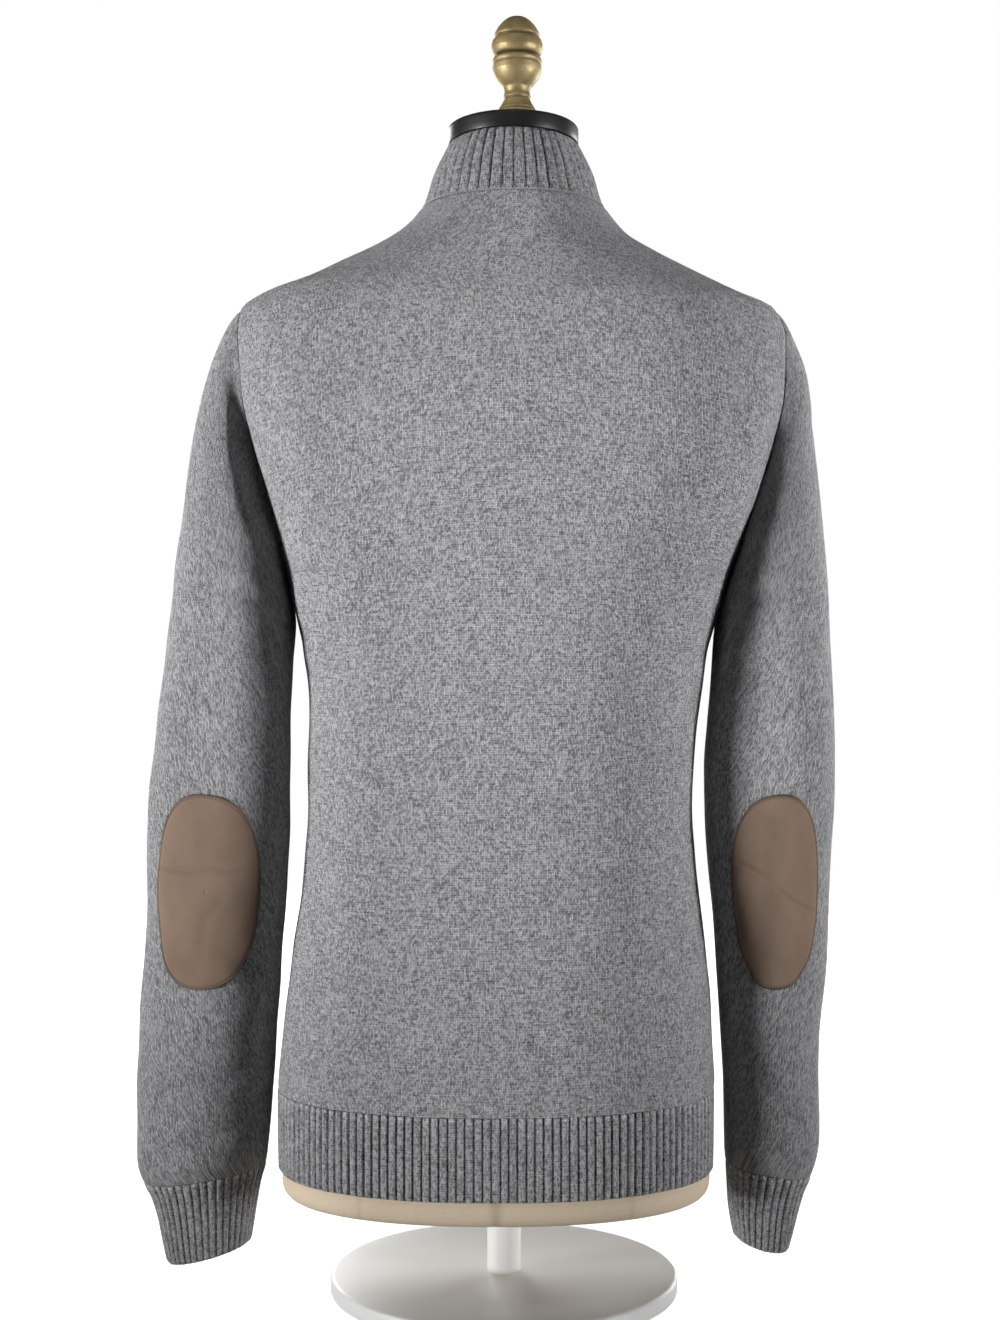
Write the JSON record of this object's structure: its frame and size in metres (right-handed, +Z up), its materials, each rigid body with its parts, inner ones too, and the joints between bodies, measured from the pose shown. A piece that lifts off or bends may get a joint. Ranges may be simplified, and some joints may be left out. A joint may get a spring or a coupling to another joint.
{
  "type": "full-zip sweater on a dress form",
  "caption": "Long-sleeved knitted sweater with a stand collar, a front zip and suede elbow patches, worn on a limbless dress form with a short stand.",
  "frame": {"origin": "centre of the stand's underside, on the surface it stands on", "axes": "+Z up, the garment's front faces -Y, the wearer's left is +X"},
  "size_m": [0.524, 0.26, 0.9547],
  "materials": {
    "knit_grey": "heather grey plain knit, soft and matt",
    "rib_grey": "heather grey rib knit, matt",
    "suede_taupe": "taupe suede, matt nap",
    "zip_tape": "dark grey woven tape",
    "zip_metal": "satin metal",
    "form_linen": "beige linen, matt",
    "cap_black": "polished black lacquer",
    "finial_brass": "antique brass",
    "stand_white": "off-white satin paint"
  },
  "bodies": {
    "sweater": {"back": "knit_grey", "front_left": "knit_grey", "front_right": "knit_grey", "sleeve_left": "knit_grey", "sleeve_right": "knit_grey", "collar": "rib_grey", "hem_rib_back": "rib_grey", "hem_rib_front_left": "rib_grey", "hem_rib_front_right": "rib_grey", "cuff_left": "rib_grey", "cuff_right": "rib_grey", "elbow_patch_left": "suede_taupe", "elbow_patch_right": "suede_taupe", "zip_tape_left": "zip_tape", "zip_tape_right": "zip_tape", "zip_chain": "zip_metal", "zip_box": "zip_metal", "zip_slider": "zip_metal", "form_torso": "form_linen", "neck_cap": "cap_black", "finial": "finial_brass", "stand_pole": "stand_white", "stand_base": "stand_white"},
    "pull_tab": {"zip_pull": "zip_metal"}
  },
  "joints": [
    {"name": "pull_tab_swing", "type": "hinge", "parent": "sweater", "child": "pull_tab", "pos_m": [-0.00699, -0.07371, 0.80499], "axis": [-1, 0, 0], "range_deg": [0, 160]}
  ]
}
